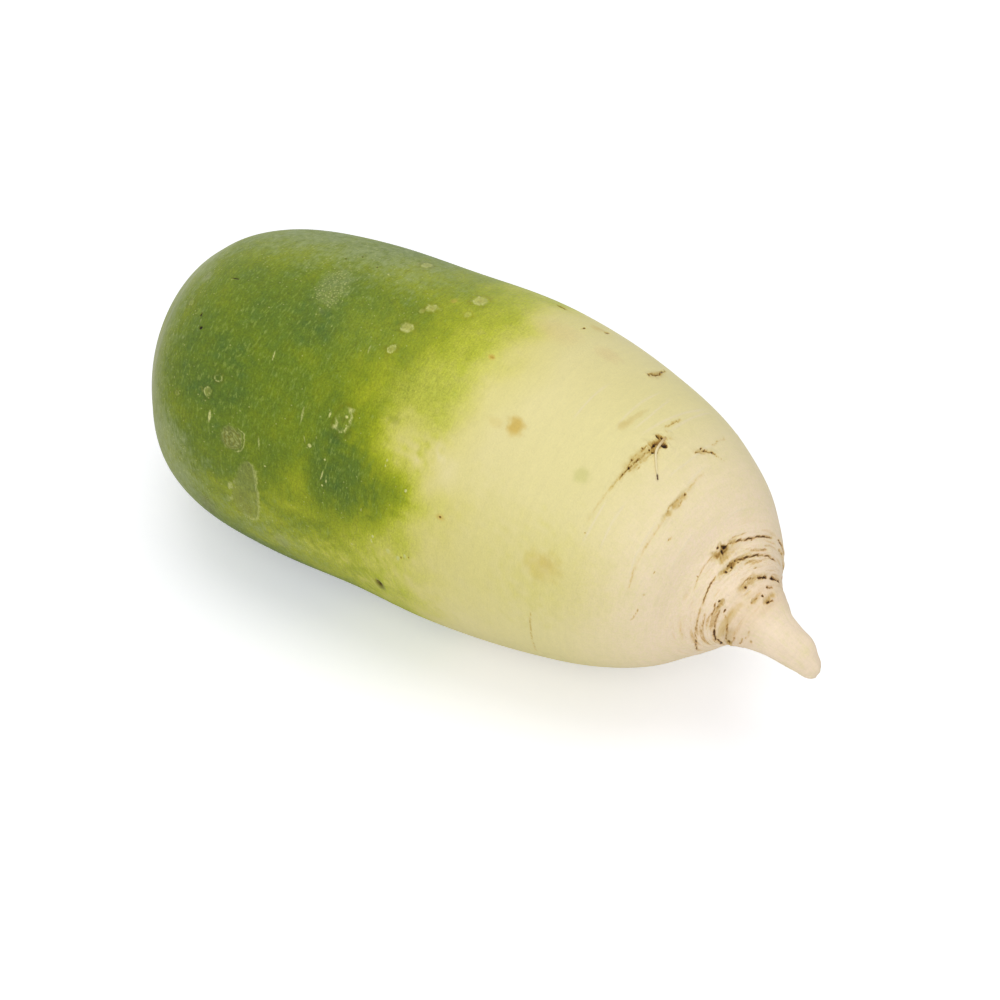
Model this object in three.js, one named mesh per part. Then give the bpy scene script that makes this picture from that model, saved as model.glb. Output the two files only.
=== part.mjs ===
// Green radish, as pulled and trimmed: one solid root lying on its side.
//
// Millimetres, +Z up. The root runs along +X from its crown to its tail, and it rests on a narrow flat
// on its underside. The origin is at the middle of the bounding box's bottom.
//
// The root is a stack of round rings strung on a gently bent spine. Each ring's radius comes from the
// outline, with slow swellings around it. What would reach below the resting surface is pressed flat.

import * as THREE from "three";

// Driving dimensions.
const BODY_RADIUS = 45.6; // the thickest part of the root
const SHOULDER_RADIUS = 18; // where the shoulder turns in to the crown
const BOSS_RADIUS = 12.5; // the boss that the leaf stalks were cut from
const BOSS_HEIGHT = 4; // how far the boss stands out past the shoulder
const COLLAR_DEPTH = 1.2; // how far the collar around the boss lies below the shoulder
const NECK_DISTANCE = 172.5; // from the shoulder to where the body turns into the tail
const NECK_RADIUS = 20.7;
const TAIL_LENGTH = 34; // the stub of the tap root, past the neck
const SPINE_HEIGHT = 44; // the spine at the thickest part, above the resting surface
const SWELLING = 0.35; // how far the slow swellings stand in or out
const SIDES = 48; // corners on each ring

// The outline, from the middle of the crown to the tip of the tail. Each row is a distance along the
// spine, a radius, and the number of rings from there to the next row.
const OUTLINE = [
  [-BOSS_HEIGHT, 0, 2],
  [-BOSS_HEIGHT * 0.8, BOSS_RADIUS * 0.7, 2],
  [0, BOSS_RADIUS, 2],
  [COLLAR_DEPTH, BOSS_RADIUS + 3, 2],
  [0, SHOULDER_RADIUS, 2],
  [1, 21.7, 2],
  [3.5, 25.9, 2],
  [7.5, 31, 2],
  [14, 35.9, 3],
  [28, 41.3, 4],
  [50, 44.3, 4],
  [75, 44.9, 4],
  [98, BODY_RADIUS, 4],
  [118, 43.8, 3],
  [134, 40.7, 3],
  [147, 37.1, 3],
  [157, 32.8, 3],
  [165.5, 27.6, 3],
  [NECK_DISTANCE, NECK_RADIUS, 3],
  [NECK_DISTANCE + TAIL_LENGTH * 0.25, 12, 3],
  [NECK_DISTANCE + TAIL_LENGTH * 0.55, 6.5, 3],
  [NECK_DISTANCE + TAIL_LENGTH * 0.85, 3.9, 2],
  [NECK_DISTANCE + TAIL_LENGTH * 0.97, 2.4, 1],
  [NECK_DISTANCE + TAIL_LENGTH, 0, 0],
];

// The spine's points [x, y, z] from the shoulder to the tail, with z counted from the thickest part.
// It droops towards the crown. Past the middle it swings towards -Y, and the tail hooks down.
const SPINE = [
  [0, 3.6, -9.8],
  [14, 3.3, -6.9],
  [40, 0, -1.2],
  [90, 0, 0],
  [130, -2.9, -0.3],
  [152, -6.2, -0.3],
  [168, -9.5, -0.8],
  [180, -14, -1],
  [190, -16.4, -3.5],
  [200, -15.6, -10.1],
];

const outline = smoothCurve(OUTLINE.map(([distance, radius]) => [distance, radius, 0]));
const spine = smoothCurve(SPINE);

function smoothCurve(points) {
  const corners = points.map((point) => new THREE.Vector3(...point));
  const curve = new THREE.CatmullRomCurve3(corners, false, "centripetal");
  curve.arcLengthDivisions = 1000;
  return curve;
}

// The distance and radius of every ring. The first and the last are the root's ends, with no radius.
function ringSizes() {
  const rows = OUTLINE.length - 1;
  const sizes = [];
  OUTLINE.forEach(([, , steps], row) => {
    for (let step = 0; step < steps; step += 1) {
      sizes.push(outline.getPoint((row + step / steps) / rows));
    }
  });
  sizes.push(outline.getPoint(1));
  return sizes.map(({ x, y }) => ({ distance: x, radius: y }));
}

// How far the surface stands out from a round root: slow swellings that fade out towards both ends.
function swelling(distance, angle) {
  const along = THREE.MathUtils.clamp(distance / NECK_DISTANCE, 0, 1);
  const oval = Math.cos(2 * angle - 1 + 3 * along);
  const lobes = 0.6 * Math.cos(3 * angle + 2 - 4 * along);
  return SWELLING * Math.sin(Math.PI * along) * (oval + lobes);
}

// A ring's middle and its two cross directions, one level and one upright. Past either end of the
// spine the ring's middle carries straight on.
function ringFrame(distance) {
  const length = spine.getLength();
  const onSpine = THREE.MathUtils.clamp(distance, 0, length);
  const along = spine.getTangentAt(onSpine / length);
  const level = new THREE.Vector3(0, 1, 0).addScaledVector(along, -along.y).normalize();
  const upright = new THREE.Vector3().crossVectors(along, level);
  const centre = spine.getPointAt(onSpine / length).addScaledVector(along, distance - onSpine);
  centre.z += SPINE_HEIGHT;
  return { centre, level, upright };
}

// A ring's corners, counted from +Y over the top. None lies below the resting surface.
function ringCorners({ distance, radius }) {
  const { centre, level, upright } = ringFrame(distance);
  return Array.from({ length: SIDES }, (_, side) => {
    const angle = (2 * Math.PI * side) / SIDES;
    const reach = radius + swelling(distance, angle);
    const corner = centre
      .clone()
      .addScaledVector(level, reach * Math.cos(angle))
      .addScaledVector(upright, reach * Math.sin(angle));
    corner.z = Math.max(corner.z, 0);
    return corner;
  });
}

// Three corner numbers for each face: a fan over the crown, a band between each two rings, and a fan
// over the tip. The crown is corner 0, and the tip comes after the last ring.
function faceCorners(ringCount) {
  const onRing = (ring, side) => 1 + ring * SIDES + (side % SIDES);
  const tip = 1 + ringCount * SIDES;
  const faces = [];
  for (let side = 0; side < SIDES; side += 1) {
    faces.push(0, onRing(0, side + 1), onRing(0, side));
    for (let ring = 0; ring < ringCount - 1; ring += 1) {
      faces.push(onRing(ring, side), onRing(ring + 1, side + 1), onRing(ring + 1, side));
      faces.push(onRing(ring, side), onRing(ring, side + 1), onRing(ring + 1, side + 1));
    }
    faces.push(tip, onRing(ringCount - 1, side), onRing(ringCount - 1, side + 1));
  }
  return faces;
}

function rootGeometry() {
  const sizes = ringSizes();
  const crown = ringFrame(sizes[0].distance).centre;
  const tip = ringFrame(sizes.at(-1).distance).centre;
  const rings = sizes.slice(1, -1).map(ringCorners);
  const geometry = new THREE.BufferGeometry().setFromPoints([crown, ...rings.flat(), tip]);
  geometry.setIndex(faceCorners(rings.length));
  geometry.computeVertexNormals();
  geometry.computeBoundingBox();
  return geometry;
}

// The mesh moves so that its box's middle is over the origin. The resting flat is already at z = 0.
function root() {
  const geometry = rootGeometry();
  const skin = new THREE.MeshStandardMaterial({ color: 0xb9b878, roughness: 0.45, metalness: 0 });
  const mesh = new THREE.Mesh(geometry, skin);
  const middle = geometry.boundingBox.getCenter(new THREE.Vector3());
  mesh.name = "radish";
  mesh.position.set(-middle.x, -middle.y, 0);
  return mesh;
}

const radish = new THREE.Group();
radish.add(root());

export default radish;
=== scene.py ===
"""A place on the root is given by how far it lies along the centre line from the shoulder, in millimetres,
and by its turn about that line, in degrees: 0 is level at +Y, 90 on top, 180 level at -Y and 270
underneath. Everything is shaped in millimetres and scaled to the frame's metres at the end.
"""

import math
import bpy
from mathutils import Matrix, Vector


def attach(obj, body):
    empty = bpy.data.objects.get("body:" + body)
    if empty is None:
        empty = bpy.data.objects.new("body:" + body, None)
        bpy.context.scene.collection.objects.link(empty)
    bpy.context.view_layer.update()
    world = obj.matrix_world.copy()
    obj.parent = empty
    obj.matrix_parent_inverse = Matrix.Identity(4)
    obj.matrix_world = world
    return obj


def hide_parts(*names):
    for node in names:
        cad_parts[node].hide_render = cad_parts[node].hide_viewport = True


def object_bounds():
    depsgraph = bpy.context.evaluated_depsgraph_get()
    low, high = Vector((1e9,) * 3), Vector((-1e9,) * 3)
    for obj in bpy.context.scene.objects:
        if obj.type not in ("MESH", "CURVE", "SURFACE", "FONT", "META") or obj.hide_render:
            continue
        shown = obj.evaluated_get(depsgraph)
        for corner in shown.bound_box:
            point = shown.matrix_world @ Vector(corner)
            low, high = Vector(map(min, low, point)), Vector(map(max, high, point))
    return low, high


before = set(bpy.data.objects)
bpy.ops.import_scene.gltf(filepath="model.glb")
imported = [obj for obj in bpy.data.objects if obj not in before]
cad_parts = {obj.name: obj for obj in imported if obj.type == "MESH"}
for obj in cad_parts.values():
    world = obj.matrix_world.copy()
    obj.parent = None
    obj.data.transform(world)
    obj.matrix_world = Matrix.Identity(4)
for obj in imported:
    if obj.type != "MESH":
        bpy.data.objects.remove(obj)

from types import SimpleNamespace

import bmesh
import bpy
import numpy as np
from mathutils import Matrix, Vector

CAD_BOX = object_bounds()

# --- Driving sizes ---

LENGTH = 206.3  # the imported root's length in millimetres, by which the frame is scaled
MM = (CAD_BOX[1].x - CAD_BOX[0].x) / LENGTH
BOSS_HEIGHT = 4  # how far the crown's boss stands out past the shoulder
BOSS_RADIUS = 12.5
SIDES = 48  # corners on each packed ring
COLUMNS = 200  # faces round the skin
CUT_TURN = 270  # where the skin's map is cut, underneath

# How far apart the skin's courses lie, at some distances along the root.
COURSE_SPACING = [(-4, 0.45), (8, 0.7), (16, 1.35), (168, 1.35), (173, 0.24), (187, 0.24), (194, 0.8)]


def srgb(red, green, blue):
    """A shader colour from 0-255 screen values."""
    shares = [value / 255 for value in (red, green, blue)]
    linear = [s / 12.92 if s <= 0.04045 else ((s + 0.055) / 1.055) ** 2.4 for s in shares]
    return (*linear, 1.0)


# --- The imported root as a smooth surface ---


def packed_rings(node):
    """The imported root's rings from crown to tail, [ring, side, xyz] in millimetres, and its two ends."""
    mesh = bmesh.new()
    mesh.from_mesh(node.data)
    bmesh.ops.remove_doubles(mesh, verts=mesh.verts, dist=MM / 1000)
    tips = [vertex for vertex in mesh.verts if len(vertex.link_edges) == SIDES]
    crown = min(tips, key=lambda vertex: vertex.co.x)
    courses, seen = [{crown}], {crown}
    while len(courses) == 1 or len(courses[-1]) > 1:
        touching = {edge.other_vert(v) for v in courses[-1] for edge in v.link_edges}
        courses.append(touching - seen)
        seen |= touching
    points = [np.array([v.co for v in course]) / MM for course in courses]
    mesh.free()
    return np.array([in_order(ring) for ring in points[1:-1]]), points[0][0], points[-1][0]


def in_order(corners):
    """A ring's corners in order of their turn, from +Y over the top."""
    spread = corners - corners.mean(0)
    direction = np.linalg.svd(spread)[2][2]
    direction *= np.sign(direction[0])
    level = np.array([0, 1, 0]) - direction * direction[1]
    upright = np.cross(direction, level)
    turns = np.arctan2(spread @ upright, spread @ level)
    first = np.abs(np.sort(turns)).argmin()
    return np.roll(corners[np.argsort(turns)], -first, axis=0)


def spline_weights(share):
    """The weights of four neighbouring points on a cubic B-spline, between the middle two."""
    before, after = (1 - share) ** 3 / 6, share**3 / 6
    middle = (4 - 6 * share**2 + 3 * share**3) / 6
    return [before, middle, 1 - before - middle - after, after]


class Root:
    """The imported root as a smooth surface. Ring 0 is the crown's tip, and ring `last` is the tail's."""

    def __init__(self, rings, crown, tail):
        self.last = len(rings) + 1
        net = self.with_ends(rings, crown, tail)
        around = (np.roll(net, 1, 1) + 4 * net + np.roll(net, -1, 1)) / 6
        smoothed = (around[1:-3] + 4 * around[2:-2] + around[3:-1]) / 6
        self.net = self.with_ends(2 * rings - smoothed, crown, tail)
        self.ring = np.linspace(0, self.last, 20 * self.last + 1)
        courses = self.point(self.ring[:, None], np.arange(0, 360, 7.5)[None, :])
        centres = courses.mean(1)
        steps = np.diff(centres, axis=0)
        forward = np.sign(steps[:, 0]) * np.linalg.norm(steps, axis=1)
        over = np.linalg.norm(np.diff(courses, axis=0), axis=2).mean(1)
        self.along = np.append(0, forward.cumsum()) - BOSS_HEIGHT
        self.reach = np.append(0, over.cumsum())
        self.girth = np.linalg.norm(courses - centres[:, None], axis=2).mean(1)
        self.shoulder = np.flatnonzero(forward < 0)[-1] + 1  # from here on, along only grows

    @staticmethod
    def with_ends(rings, crown, tail):
        """The rings between the two tips, and past each tip the ring across from it."""
        tips = [np.tile(tip, (1, SIDES, 1)) for tip in (crown, tail)]
        beyond = [np.roll(rings[[i]], SIDES // 2, axis=1) for i in (0, -1)]
        return np.concatenate([beyond[0], tips[0], rings, tips[1], beyond[1]])

    def point(self, ring, turn):
        """The surface's points at ring numbers and turns."""
        ring, turn = np.broadcast_arrays(ring, turn)
        row = np.clip(ring, 0, self.last - 1).astype(int)
        side = turn / 360 * SIDES
        column = np.floor(side).astype(int)
        found = np.zeros((*ring.shape, 3))
        for i, row_weight in enumerate(spline_weights(ring - row)):
            for j, side_weight in enumerate(spline_weights(side - column)):
                corners = self.net[row + i, (column + j - 1) % SIDES]
                found += (row_weight * side_weight)[..., None] * corners
        return found

    def ring_at(self, along):
        """The ring number at a distance along the root, past the crown's dip."""
        return np.interp(along, self.along[self.shoulder :], self.ring[self.shoulder :])

    def reach_at(self, along):
        """How far over the skin a distance along the root is from the crown's tip."""
        return np.interp(self.ring_at(along), self.ring, self.reach)

    def girth_at(self, along):
        """The root's radius at a distance along it."""
        return np.interp(self.ring_at(along), self.ring, self.girth)


# --- Marks on the skin ---
#
# A mark's row starts with its distance along the root, its turn, and its half size along and around
# the root in millimetres.

OCHRE = srgb(206, 174, 76)
TAN = srgb(200, 172, 112)
HUSK = srgb(204, 178, 100)
MOSS = srgb(190, 190, 104)
OLIVE = srgb(112, 118, 46)
SAGE = srgb(152, 160, 108)
ROSE = srgb(222, 192, 134)
FILM = srgb(144, 146, 86)
PALE = srgb(236, 222, 190)

# How green the skin is at some distances along the root: 1 is the deepest green, and 0 is cream.
GREEN_LEVELS = [
    (-4, 0.5), (8, 0.6), (22, 0.72), (36, 0.8), (58, 0.8), (68, 0.71), (78, 0.61), (86, 0.52),
    (93, 0.4), (99, 0.31), (103, 0.17), (108, 0.07), (118, 0.01), (150, 0.01), (170, 0),
]

# Where the skin is greener or paler than that, and by how much.
GREEN_PATCHES = [
    (38, 142, 14, 18, 0.14),
    (48, 110, 16, 20, 0.07),
    (57, 114, 8, 8, 0.12),
    (72, 142, 9, 7, 0.12),
    (77, 157, 13, 13, 0.32),
    (92, 158, 9, 9, 0.24),
    (97, 158, 5, 5, 0.04),
    (36, 156, 6, 6, -0.1),
    (76, 125, 6, 7, -0.1),
    (92, 137, 12, 10, -0.26),
    (104, 143, 8, 8, -0.1),
    (64, 163, 5, 9, -0.12),
    (58, 179, 7, 8, -0.12),
    (64, 173, 9, 9, -0.14),
    (26, 176, 9, 9, -0.1),
    (50, 190, 22, 14, -0.22),
    (70, 201, 22, 12, -0.24),
    (92, 203, 12, 10, -0.14),
    (86, 186, 17, 12, -0.2),
    (97, 176, 10, 12, -0.1),
    (74, 98, 10, 8, 0.12),
    (86, 106, 7, 10, 0.06),
    (98, 109, 8, 10, 0.08),
    (104, 95, 6, 8, -0.06),
    (42, 86, 16, 12, -0.14),
    (66, 79, 14, 10, -0.1),
    (102, 201, 16, 10, 0.08),
    (120, 168, 26, 26, 0.06),
    (148, 163, 20, 18, 0.07),
]

# Soft tints: ..., tilt, colour and cover.
STAINS = [
    (118.4, 119.2, 2.5, 3.0, -20, OCHRE, 0.85),
    (113.5, 121, 2.5, 1.6, 0, OCHRE, 0.2),
    (94, 125, 14, 12, 0, MOSS, 0.22),
    (140.5, 159.5, 6.4, 4.8, 0, OCHRE, 0.26),
    (141.5, 157.5, 2.6, 2.0, 20, OCHRE, 0.2),
    (140.5, 122.5, 2.4, 2.4, 30, MOSS, 0.4),
    (109.7, 156.5, 1.4, 0.8, 0, OCHRE, 0.5),
    (102.5, 101.4, 1.1, 0.9, 20, OCHRE, 0.7),
    (87.8, 133.6, 2.4, 1.2, 0, OLIVE, 0.35),
    (82.8, 84.5, 1.0, 1.2, 0, OCHRE, 0.4),
    (110, 76, 6, 6, 30, ROSE, 0.24),
    (123, 72, 4, 3.4, 0, ROSE, 0.3),
    (140.8, 96.5, 1.3, 2.2, 20, HUSK, 0.4),
    (141.2, 91, 0.9, 5, 6, HUSK, 0.36),
    (134, 62.5, 1.8, 4, 0, TAN, 0.4),
    (113.5, 58, 2.4, 2.2, 0, OCHRE, 0.4),
    (49, 185, 2.2, 4.5, 0, OLIVE, 0.3),
    (35, 198, 3, 6, 20, OLIVE, 0.6),
    (91, 197.5, 1.8, 3.2, -10, OLIVE, 0.8),
    (58, 198, 2.4, 4, 0, SAGE, 0.5),
    (25.5, 106, 1.8, 2, 0, SAGE, 0.6),
    (175.3, 100.6, 0.7, 1.2, 0, PALE, 1),
    (178, 107, 0.4, 0.7, 0, PALE, 1),
    (177.6, 90, 0.35, 0.7, 0, PALE, 0.8),
    (183, 168, 1.0, 9, 5, OCHRE, 0.5),
    (184.4, 196, 1.2, 5, 0, TAN, 0.55),
]

# Raised pale rings round breathing pores: ..., tilt, and how pale the ring is and its filling.
PORES = [
    (77, 112.6, 0.95, 1.4, 15, 0.6, 0.5),
    (77.3, 103, 1.7, 1.5, 0, 0.75, 0.7),
    (79.5, 91.8, 1.3, 1.6, 30, 0.75, 0.7),
    (77.8, 94.4, 0.7, 0.9, 0, 0.2, 0.4),
    (88.4, 79.4, 1.9, 2.4, 0, 0.7, 0.7),
    (67.5, 67, 1.1, 2.2, 0, 0.5, 0.5),
    (39, 147.3, 0.8, 1.3, 0, 0.75, 0.25),
    (40.6, 141.6, 0.9, 0.9, 0, 0.55, 0),
    (31.4, 151.4, 0.6, 0.8, 0, 0.35, 0.2),
    (73.2, 140, 2.2, 3.2, 10, 0.85, 0.05),
    (89.2, 89, 0.9, 1.2, 0, 0.3, 0.4),
    (26.4, 118, 0.9, 0.8, 0, 0.35, 0.2),
]

# Small pale raised flecks and dashes: ..., tilt and paleness.
FLECKS = [
    (40.3, 155.2, 0.4, 2.2, 0, 0.9), (62, 143.2, 0.35, 2.4, -5, 0.4), (50.4, 128.4, 0.22, 1.6, -5, 0.7),
    (71.6, 115.4, 0.3, 1.8, -8, 0.4), (69, 140, 0.4, 1, 0, 0.8), (66, 152, 0.7, 0.6, 15, 0.6),
    (64.2, 150.4, 0.2, 1, -25, 0.5), (67.2, 148.5, 0.25, 0.5, 0, 0.5), (71, 154.5, 0.45, 0.3, 10, 0.8),
    (71, 160, 0.3, 1.6, 8, 0.7), (71.5, 163.5, 0.4, 0.35, 0, 0.9), (72.5, 161.5, 0.25, 0.6, 0, 0.7),
    (73.6, 138.6, 0.5, 0.45, 20, 1), (74.2, 141.2, 0.3, 0.3, 0, 0.7), (85, 166, 0.25, 0.6, 0, 0.6),
    (90.2, 146.4, 0.35, 0.4, 0, 0.8), (90.2, 148.2, 0.35, 0.5, 0, 0.7), (98.2, 153, 0.4, 0.45, 0, 1),
    (90.2, 174, 0.45, 0.55, 0, 1), (89.8, 176, 0.4, 0.6, 0, 0.9), (95.8, 177, 0.8, 0.9, 0, 0.6),
    (99, 178, 0.8, 1, 0, 0.8), (101.2, 176, 0.65, 0.9, 0, 0.8), (55.1, 165, 0.3, 0.3, 0, 0.9),
    (32, 124, 0.4, 0.7, 0, 0.3), (52.8, 158, 0.25, 2, -10, 0.4), (82.4, 181.6, 0.5, 0.3, 0, 0.6),
    (63.2, 83, 0.5, 0.4, 0, 0.6),
]

# Dark sunken spots: ..., depth and darkness.
PITS = [
    (32.9, 126.6, 0.45, 0.45, 0.3, 1), (31.4, 121.8, 0.2, 0.8, 0.2, 0.7), (34, 105, 1.2, 0.28, 0.1, 1),
    (109.7, 156.5, 0.4, 0.3, 0.2, 0.7), (90.7, 197, 1.1, 1.9, 0.5, 0.5),
    (102.6, 101.4, 0.6, 0.4, 0.1, 0.2), (112.2, 65, 0.35, 0.9, 0.3, 0.8),
    (115.7, 56.6, 0.6, 1.4, 0.3, 0.6), (102.2, 56.6, 1.5, 0.8, 0.3, 0.6),
    (148.4, 91.5, 0.6, 0.35, 0.5, 0.8), (149.3, 95.4, 0.5, 1.2, 0.6, 1),
    (149.2, 90.2, 0.3, 0.5, 0.4, 0.7), (150.9, 92.2, 0.8, 0.8, 0.6, 1), (149.3, 98.5, 0.3, 0.3, 0.4, 0.9),
    (150.3, 98.4, 0.3, 0.4, 0.4, 0.8), (147.9, 99.8, 0.3, 0.3, 0.3, 0.7),
    (148.6, 110, 0.3, 0.5, 0.3, 0.8), (148.4, 113.6, 0.2, 0.4, 0.3, 0.6),
    (148.9, 105.4, 0.2, 0.8, 0.3, 0.6), (150.3, 108, 0.15, 0.8, 0.2, 0.4),
    (148, 106.4, 0.3, 0.3, 0.2, 0.6), (155.9, 79, 0.25, 0.4, 0.3, 0.9), (156.6, 78, 0.25, 0.5, 0.3, 1),
    (157.8, 75.2, 0.5, 0.4, 0.4, 1), (156.1, 82.4, 0.25, 0.6, 0.2, 0.6),
    (161.1, 102.7, 0.35, 0.4, 0.3, 0.8), (133.5, 66.3, 0.4, 0.5, 0.4, 0.9),
    (134.2, 62.4, 0.3, 0.9, 0.3, 0.6), (165.9, 157, 0.35, 0.3, 0.1, 0.35),
    (165.9, 143.5, 0.25, 0.5, 0.1, 0.25), (148.1, 140.4, 0.35, 0.3, 0.1, 0.25),
    (100, 177.4, 0.25, 0.5, 0.1, 0.5), (102.4, 176, 0.25, 0.5, 0.1, 0.5),
    (174.2, 105.6, 0.5, 0.6, 0.4, 1), (175.3, 104.2, 1, 0.45, 0.4, 1), (174.9, 99, 0.4, 1.1, 0.4, 1),
    (174.5, 101, 0.2, 0.6, 0.3, 0.8), (175.8, 73.2, 0.25, 0.5, 0.3, 0.9),
    (175.1, 132.2, 0.3, 0.15, 0.1, 0.6), (177.7, 130.8, 0.2, 0.25, 0.2, 0.9),
    (178.2, 112.8, 0.3, 0.25, 0.4, 0.9), (177.6, 107.6, 0.25, 0.5, 0.4, 1),
    (178.2, 105.6, 0.35, 0.3, 0.4, 1), (178.4, 109, 0.15, 0.6, 0.3, 0.8),
    (178.1, 97.2, 0.3, 0.35, 0.3, 1), (177.6, 98.8, 0.25, 0.3, 0.3, 0.8),
    (180.3, 142.2, 0.25, 0.4, 0.3, 1), (180.6, 148.4, 0.2, 0.4, 0.3, 0.8),
    (181.9, 150.4, 0.2, 0.7, 0.3, 0.7), (182, 109, 0.35, 0.4, 0.3, 0.8), (184.5, 207, 0.3, 0.9, 0.4, 0.7),
    (184, 190, 0.4, 0.8, 0.2, 0.45), (184.2, 82, 0.25, 0.5, 0.3, 0.9), (185.1, 98, 0.3, 0.3, 0.3, 1),
    (186.7, 96, 0.25, 0.8, 0.3, 0.9), (51.2, 82, 0.3, 0.3, 0.2, 0.7), (53.8, 77.5, 0.25, 0.3, 0.2, 0.7),
    (59.2, 81, 0.25, 0.25, 0.2, 0.6),
]

# Corky scars where side roots grew: ..., tilt and darkness.
SCARS = [
    (149.6, 93.5, 1.5, 3.4, 0, 0.34),
    (148.8, 104.5, 1.5, 6.2, 3, 0.08),
    (156.6, 79, 0.7, 2.7, 24, 0.1),
    (161.1, 107.5, 1.0, 3.8, -6, 0.1),
    (161, 115, 0.6, 2.4, 0, 0.08),
    (134, 62, 0.7, 3.2, 0, 0.1),
    (175.2, 103, 1.5, 3.4, 0, 0.34),
    (176.4, 105.5, 0.7, 2.0, 0, 0.14),
    (177.8, 104, 0.7, 4.2, 0, 0.4),
    (181.6, 102, 0.8, 4.4, 0, 0.14),
    (186.2, 91, 0.8, 2.4, -12, 0.16),
    (184.8, 112, 0.5, 1.8, 0, 0.1),
    (180.7, 146, 0.5, 2, 0, 0.2),
    (184.6, 205, 0.6, 1.8, 0, 0.24),
]

# Cracks in the skin: half width, depth, darkness and the places that each passes.
CRACKS = [
    (0.22, 0.35, 0.34, [(149.6, 98), (149, 105), (148.5, 113), (148.2, 122)]),
    (0.18, 0.25, 0.28, [(148.4, 97), (148, 104), (148.2, 111)]),
    (0.16, 0.2, 0.3, [(150.4, 98), (149.8, 105), (149, 112)]),
    (0.3, 0.06, 0.1, [(148.2, 112), (147.9, 124), (147.5, 136)]),
    (0.3, 0.08, 0.3, [(147.7, 85), (147.9, 80), (148.1, 75)]),
    (0.25, 0.06, 0.16, [(156.6, 72), (156, 66), (155.7, 58)]),
    (0.2, 0.1, 0.3, [(158.6, 74.5), (159.4, 72.5), (160.4, 71)]),
    (0.25, 0.2, 0.5, [(156, 84), (156.4, 79), (158.8, 73)]),
    (0.25, 0.25, 0.2, [(161.2, 117), (160.4, 112), (161.1, 103)]),
    (0.2, 0.25, 0.28, [(162, 110), (161.1, 102.6)]),
    (0.3, 0.06, 0.14, [(161.2, 116), (161.2, 130), (161.2, 142), (162, 158)]),
    (0.3, 0.06, 0.12, [(161, 101), (160.6, 94), (160.4, 87)]),
    (0.3, 0.3, 0.7, [(133.3, 66.5), (134.3, 62), (133.7, 57), (132.6, 51)]),
    (0.2, 0.15, 0.24, [(137.6, 212), (138.5, 202), (139.2, 190), (139.5, 180)]),
    (0.2, 0.05, 0.4, [(164.6, 126), (165, 123)]),
    (0.2, 0.05, 0.4, [(165, 173), (165.8, 166)]),
    (0.25, 0.35, 0.7, [(174.7, 97), (175.1, 88), (175.5, 78), (175.5, 62), (175.4, 44)]),
    (0.18, 0.1, 0.3, [(174.2, 92), (174.4, 84), (174.5, 76)]),
    (0.18, 0.1, 0.22, [(174.6, 106), (174.9, 122), (176, 145)]),
    (0.26, 0.5, 0.7, [(177.8, 97), (178.1, 88), (178.3, 78), (178.5, 68), (178.8, 54), (179.2, 38)]),
    (0.18, 0.2, 0.35, [(177.3, 78), (177.7, 66), (177.6, 56)]),
    (0.18, 0.15, 0.25, [(177, 60), (176.8, 44)]),
    (0.16, 0.25, 0.6, [(177.5, 122), (177.7, 131), (178.1, 145), (178.4, 156)]),
    (0.2, 0.2, 0.35, [(178.3, 156), (178.5, 176), (178, 205)]),
    (0.2, 0.35, 0.8, [(178, 205), (177.3, 214), (176.5, 224), (175.7, 234)]),
    (0.18, 0.25, 0.55, [(180, 145), (180.4, 154), (180.3, 164)]),
    (0.18, 0.2, 0.45, [(179.3, 162), (179.5, 176), (179.5, 188)]),
    (0.18, 0.3, 0.42, [(181.2, 150), (181.4, 165), (181.6, 182)]),
    (0.26, 0.4, 0.9, [(181.6, 180), (181.7, 192), (181.7, 205)]),
    (0.34, 0.5, 1, [(182.1, 200), (182.5, 208), (182.6, 220), (181.7, 236)]),
    (0.25, 0.3, 0.35, [(182.4, 154), (183.3, 165), (183.9, 180), (184.1, 196), (184.6, 206)]),
    (0.2, 0.25, 0.4, [(184.8, 208), (185.6, 196), (185.7, 186)]),
    (0.2, 0.2, 0.3, [(187, 202), (187.3, 192), (187.2, 180)]),
    (0.18, 0.15, 0.22, [(187.8, 180), (188, 170), (187.8, 158)]),
    (0.18, 0.15, 0.2, [(189.2, 200), (189.4, 188), (189.2, 176)]),
    (0.16, 0.2, 0.4, [(181.5, 114), (181.1, 102), (181.7, 90)]),
    (0.3, 0.5, 1, [(181.8, 88), (182.1, 82), (182.5, 72)]),
    (0.34, 0.5, 1, [(182.7, 69), (183.2, 57), (183.8, 42)]),
    (0.22, 0.3, 0.7, [(184.2, 84), (184.6, 71)]),
    (0.22, 0.3, 0.7, [(186.2, 101), (186.8, 93), (187.2, 86)]),
    (0.18, 0.15, 0.3, [(184.7, 120), (184.8, 106)]),
    (0.18, 0.15, 0.3, [(180.2, 85), (180.4, 71)]),
]

SEAM_COVER = 0.6
# Fine pale lines that run round the root: half width and the places that each passes.
SEAMS = [
    (0.34, [(149, 88), (149, 76.5), (148.8, 64.5), (148.2, 50)]),
    (0.34, [(145.2, 99), (146, 88.5), (146.8, 76), (147.4, 62), (147.2, 50)]),
    (0.28, [(143.2, 98), (143.5, 88), (143, 78), (142.3, 68)]),
    (0.28, [(139.9, 101), (139.4, 93), (139.3, 82), (139.6, 68)]),
    (0.28, [(148.9, 124), (148.8, 134), (148.6, 146)]),
    (0.28, [(156, 104), (156.5, 92.5), (156.5, 83.5), (156, 70)]),
    (0.28, [(160.3, 118), (160.1, 128), (160.2, 140), (161, 152)]),
    (0.28, [(160.2, 102), (159.6, 92), (159.4, 82)]),
    (0.28, [(152.6, 120), (152.4, 132), (152.8, 146)]),
    (0.28, [(130, 84), (129.6, 96), (129.8, 108)]),
    (0.28, [(168, 110), (168.4, 124), (169, 140)]),
    (0.28, [(170.4, 66), (170.2, 80), (170.6, 94)]),
]


def either_way(turn):
    """A turn in degrees as one of -180 to 180."""
    return (turn + 180) % 360 - 180


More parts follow.
